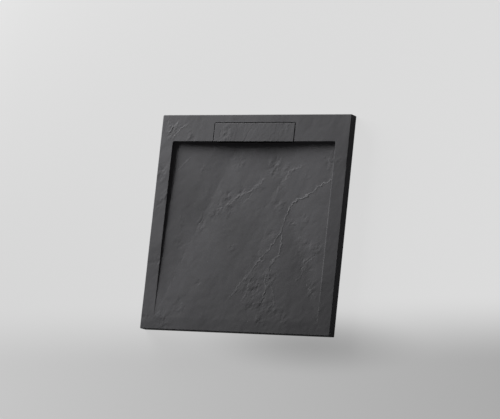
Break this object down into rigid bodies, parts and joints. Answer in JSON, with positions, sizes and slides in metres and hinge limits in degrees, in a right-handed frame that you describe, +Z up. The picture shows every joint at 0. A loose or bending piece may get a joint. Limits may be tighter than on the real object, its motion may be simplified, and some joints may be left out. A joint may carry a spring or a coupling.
{
  "type": "shower tray",
  "caption": "Square slate-textured shower tray with a three-facet floor falling to a hidden edge drain, a lift-off cover, and a waste with a ball-jointed trap outlet.",
  "frame": {"origin": "middle of the tray's underside, the face that lies on the floor; the trap hangs below it", "axes": "+Z up, out of the rim; +Y towards the edge with the drain; +X to the right when facing the drain"},
  "size_m": [0.8, 0.8, 0.1265],
  "materials": {
    "slate_resin": "matt, slate-textured",
    "pad_rubber": "matt",
    "seal_rubber": "matt",
    "flange_steel": "brushed",
    "strainer_steel": "brushed",
    "grey_plastic": "moulded",
    "white_plastic": "moulded"
  },
  "bodies": {
    "tray": {"tray_body": "slate_resin", "waste_flange": "flange_steel", "flange_gasket": "seal_rubber", "trap_gasket": "seal_rubber", "trap_body": "white_plastic", "trap_bowl": "white_plastic", "ball_seal": "seal_rubber", "slip_ring": "grey_plastic", "union_nut": "white_plastic"},
    "cover": {"drain_cover": "slate_resin", "cover_pads": "pad_rubber"},
    "insert": {"dip_tube": "grey_plastic", "dip_tube_o_ring": "seal_rubber"},
    "strainer": {"hair_strainer": "strainer_steel"},
    "outlet": {"outlet_tail": "white_plastic", "pipe_seal": "seal_rubber", "slip_washer": "grey_plastic", "pipe_nut": "white_plastic"}
  },
  "joints": [
    {"name": "cover_lift", "type": "slide", "parent": "tray", "child": "cover", "axis": [0, 0, 1], "range_m": [0, 0.2]},
    {"name": "strainer_lift", "type": "slide", "parent": "tray", "child": "strainer", "axis": [0, 0, 1], "range_m": [0, 0.14]},
    {"name": "dip_tube_lift", "type": "slide", "parent": "tray", "child": "insert", "axis": [0, 0, 1], "range_m": [0, 0.09]},
    {"name": "outlet_swing", "type": "hinge", "parent": "tray", "child": "outlet", "pos_m": [-0.068, 0.33, -0.034], "axis": [0, 0, 1], "range_deg": [-10, 10]}
  ],
  "couplings": [
    {"joint": "strainer_lift", "follows": "cover_lift", "ratio": 0.7},
    {"joint": "dip_tube_lift", "follows": "cover_lift", "ratio": 0.45}
  ]
}
